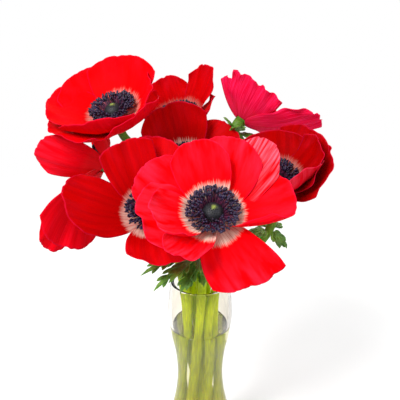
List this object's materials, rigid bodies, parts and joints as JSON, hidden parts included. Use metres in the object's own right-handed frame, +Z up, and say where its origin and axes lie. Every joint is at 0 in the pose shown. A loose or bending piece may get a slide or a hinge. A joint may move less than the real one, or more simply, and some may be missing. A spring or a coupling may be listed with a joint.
{
  "type": "anemone bouquet in a glass vase",
  "caption": "Bunch of open red anemones with dark centres and finely cut green leaves, standing in water in a clear waisted glass vase.",
  "frame": {"origin": "centre of the vase's foot, on the surface that it stands on", "axes": "+Z up, +X to the right of the picture, -Y towards its camera"},
  "size_m": [0.1857, 0.1788, 0.2963],
  "materials": {
    "clear_glass": "clear, polished",
    "water": "clear, still",
    "red_petal": "silky, finely veined",
    "dark_stamen": "matte, powdery",
    "green_stem": "smooth, satin"
  },
  "bodies": {
    "root": {"vase": "clear_glass", "water": "water", "petals_front": "red_petal", "centre_front": "dark_stamen", "stem_front": "green_stem", "petals_top_left": "red_petal", "centre_top_left": "dark_stamen", "stem_top_left": "green_stem", "petals_left": "red_petal", "centre_left": "dark_stamen", "stem_left": "green_stem", "petals_middle": "red_petal", "centre_middle": "dark_stamen", "stem_middle": "green_stem", "petals_right": "red_petal", "centre_right": "dark_stamen", "stem_right": "green_stem", "petals_top_right": "red_petal", "centre_top_right": "dark_stamen", "stem_top_right": "green_stem", "petals_far_left": "red_petal", "centre_far_left": "dark_stamen", "stem_far_left": "green_stem", "petals_back": "red_petal", "centre_back": "dark_stamen", "stem_back": "green_stem"}
  },
  "joints": []
}
